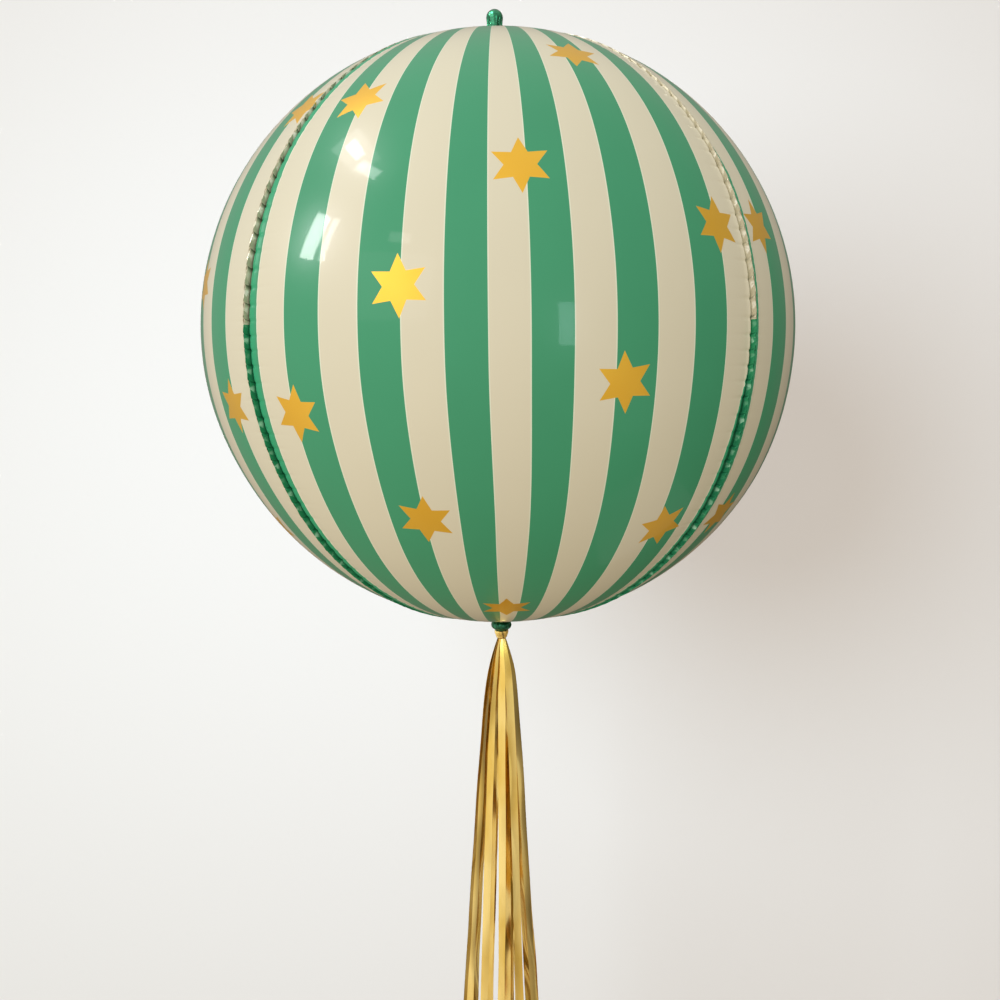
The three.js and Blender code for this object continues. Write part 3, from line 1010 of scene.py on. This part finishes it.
def window_light(name, azimuths, elevations, brightness, colour):
    """A rectangle of light that the balloon mirrors at the given azimuths and elevations.
    Brightness is what one unit of its area gives."""
    level = sum(elevations) / 2.0
    middle = direction(sum(azimuths) / 2.0, level)
    wide = math.radians(azimuths[1] - azimuths[0]) * math.cos(math.radians(level))
    width = 2.0 * WINDOW_DISTANCE * math.tan(wide / 2.0)
    tall = math.radians(elevations[1] - elevations[0])
    height = 2.0 * WINDOW_DISTANCE * math.tan(tall / 2.0)
    power = brightness * width * height * math.pi
    light = area_light(name, "RECTANGLE", width, height, power, colour)
    light.location = mirror_point(middle) + middle * WINDOW_DISTANCE
    aim(light, -middle, UP)
    light.visible_diffuse = False


def wall_light(name, place, ahead, size, power, colour, stage):
    """A soft round lamp for the wall alone. What hangs before the wall casts its shadow."""
    light = area_light(name, "DISK", size, size, power, colour)
    light.location = place
    aim(light, ahead, UP)
    light.visible_glossy = False
    lit = bpy.data.collections.new(f"{name}_lights")
    lit.objects.link(stage)
    light.light_linking.receiver_collection = lit


def make_room_light():
    """Soft light from all round: one ramp from bright above on the left in front to dark
    below on the right behind, times a ramp from white above to a warm tint below, times
    a ramp that dims what lies behind on the left."""
    world = bpy.data.worlds.new("room")
    bpy.context.scene.world = world
    world.use_nodes = True
    nodes, links = world.node_tree.nodes, world.node_tree.links
    place = nodes.new("ShaderNodeTexCoord").outputs["Generated"]

    def ramp(towards, stops):
        """A colour for each direction, by how nearly it is the given one."""
        dot = nodes.new("ShaderNodeVectorMath")
        dot.operation = "DOT_PRODUCT"
        links.new(place, dot.inputs[0])
        dot.inputs[1].default_value = towards
        span = nodes.new("ShaderNodeMapRange")
        links.new(dot.outputs["Value"], span.inputs[0])
        span.inputs[1].default_value, span.inputs[2].default_value = -1.0, 1.0
        colours = nodes.new("ShaderNodeValToRGB")
        links.new(span.outputs[0], colours.inputs[0])
        elements = colours.color_ramp.elements
        for element, (position, colour) in zip(elements, (stops[0], stops[-1])):
            element.position, element.color = position, (*colour, 1.0)
        for position, colour in stops[1:-1]:
            elements.new(position).color = (*colour, 1.0)
        return colours.outputs[0]

    def times(first, second):
        """Two colours multiplied."""
        node = nodes.new("ShaderNodeMix")
        node.data_type, node.blend_type = "RGBA", "MULTIPLY"
        node.inputs[0].default_value = 1.0
        links.new(first, node.inputs[6])
        links.new(second, node.inputs[7])
        return node.outputs[2]

    light = ramp(direction(*ROOM_BRIGHT_SIDE), ROOM_RAMP)
    light = times(light, ramp(UP, ROOM_TINT))
    light = times(light, ramp(direction(*ROOM_DIM_SIDE), ROOM_BEHIND))
    links.new(light, nodes["Background"].inputs[0])
    nodes["Background"].inputs[1].default_value = ROOM_STRENGTH


def make_lights(stage):
    """The windows and the soft glows that the photograph shows mirrored in the foil, a lamp
    in front on the left, which casts the balloon's shadow on the wall, and a wash on each
    side of the wall."""
    for window in WINDOWS:
        window_light(*window)
    front = direction(*WALL_LAMP_SIDE)
    wall_light("wall_lamp", UP * (CENTRE * METRES) + front, -front, WALL_LAMP_SIZE,
               WALL_LAMP_POWER, WALL_LAMP_COLOUR, stage)
    for name, place, target, power in WASHES:
        ahead = (Vector(target) - Vector(place)).normalized()
        wall_light(name, place, ahead, WASH_SIZE, power, WASH_COLOUR, stage)


# Making it all

make_camera()
foil = striped_foil()
for count, gore in enumerate(GORES):
    make_gore(gore, count, foil)
metal = green_foil()
make_knob(metal)
make_collar(metal)
ribbon = gold_foil()
make_knot(ribbon)
for count in range(OUTER_STRIPS + INNER_STRIPS):
    make_strip(count, ribbon)
make_room_light()
make_lights(make_stage(plain_wall()))
bpy.context.scene.view_settings.view_transform = "Standard"
